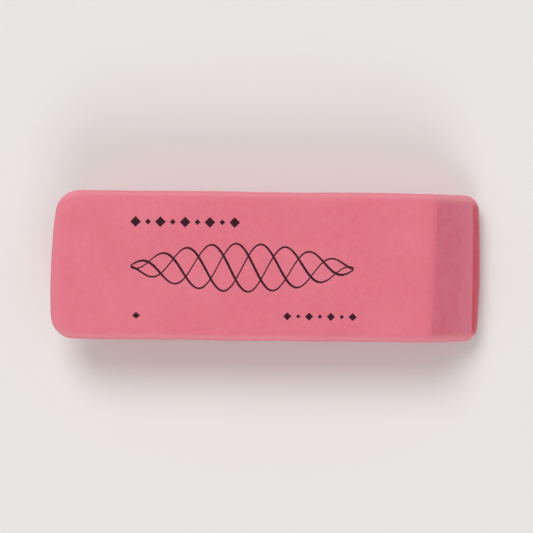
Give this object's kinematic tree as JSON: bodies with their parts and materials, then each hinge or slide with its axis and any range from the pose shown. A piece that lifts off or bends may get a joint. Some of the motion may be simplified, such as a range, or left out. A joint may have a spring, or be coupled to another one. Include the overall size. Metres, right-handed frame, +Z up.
{
  "type": "rubber eraser",
  "caption": "Bevelled pink rubber eraser: a block whose ends are cut on a slant, with large flat faces and tumbled round edges, for rubbing out pencil.",
  "frame": {"origin": "middle of the block's box, on the large face that it rests on", "axes": "+X along the block towards the tip of the resting face, +Y across it, +Z up out of the printed face"},
  "size_m": [0.0582, 0.02, 0.011],
  "materials": {
    "eraser_rubber": "matt, finely mottled pink rubber with a dry bloom and a small dark printed ornament on the upper face"
  },
  "bodies": {
    "root": {"eraser": "eraser_rubber"}
  },
  "joints": []
}
